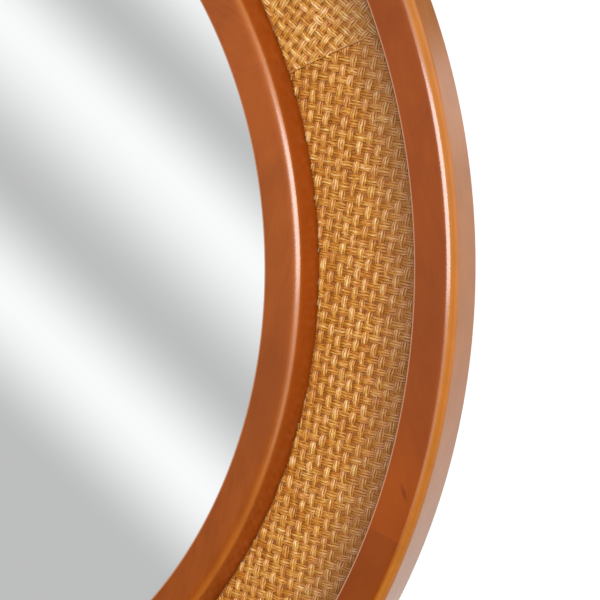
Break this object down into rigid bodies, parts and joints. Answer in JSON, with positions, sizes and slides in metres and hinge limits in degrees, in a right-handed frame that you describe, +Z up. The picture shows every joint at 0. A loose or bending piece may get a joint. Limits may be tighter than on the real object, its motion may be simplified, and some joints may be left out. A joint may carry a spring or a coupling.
{
  "type": "wall mirror",
  "caption": "Round wall mirror with wood inner and outer rings, a crowned band of woven cane between them and a flush back hung on keyhole plates.",
  "frame": {"origin": "centre of the flat back, on the plane of the wall", "axes": "+Y into the wall and -Y out of the front, +Z up, +X to the right seen from the front"},
  "size_m": [0.762, 0.029, 0.762],
  "materials": {
    "stained_wood": "red-brown stain under gloss lacquer",
    "woven_cane": "natural golden cane, satin",
    "silver_mirror": "silvered glass, polished",
    "black_board": "wood-fibre board, painted matt black",
    "raw_board": "wood-fibre board, raw",
    "plate_brass": "brass plated, satin",
    "screw_steel": "zinc plated"
  },
  "bodies": {
    "root": {"outer_ring": "stained_wood", "inner_ring": "stained_wood", "cane_bed": "raw_board", "cane_panel_1": "woven_cane", "cane_panel_2": "woven_cane", "cane_panel_3": "woven_cane", "cane_panel_4": "woven_cane", "cane_panel_5": "woven_cane", "cane_panel_6": "woven_cane", "mirror_glass": "silver_mirror", "back_board": "black_board", "hanger_plate_left": "plate_brass", "hanger_plate_right": "plate_brass", "hanger_screw_left_lower": "screw_steel", "hanger_screw_left_upper": "screw_steel", "hanger_screw_right_lower": "screw_steel", "hanger_screw_right_upper": "screw_steel"}
  },
  "joints": []
}
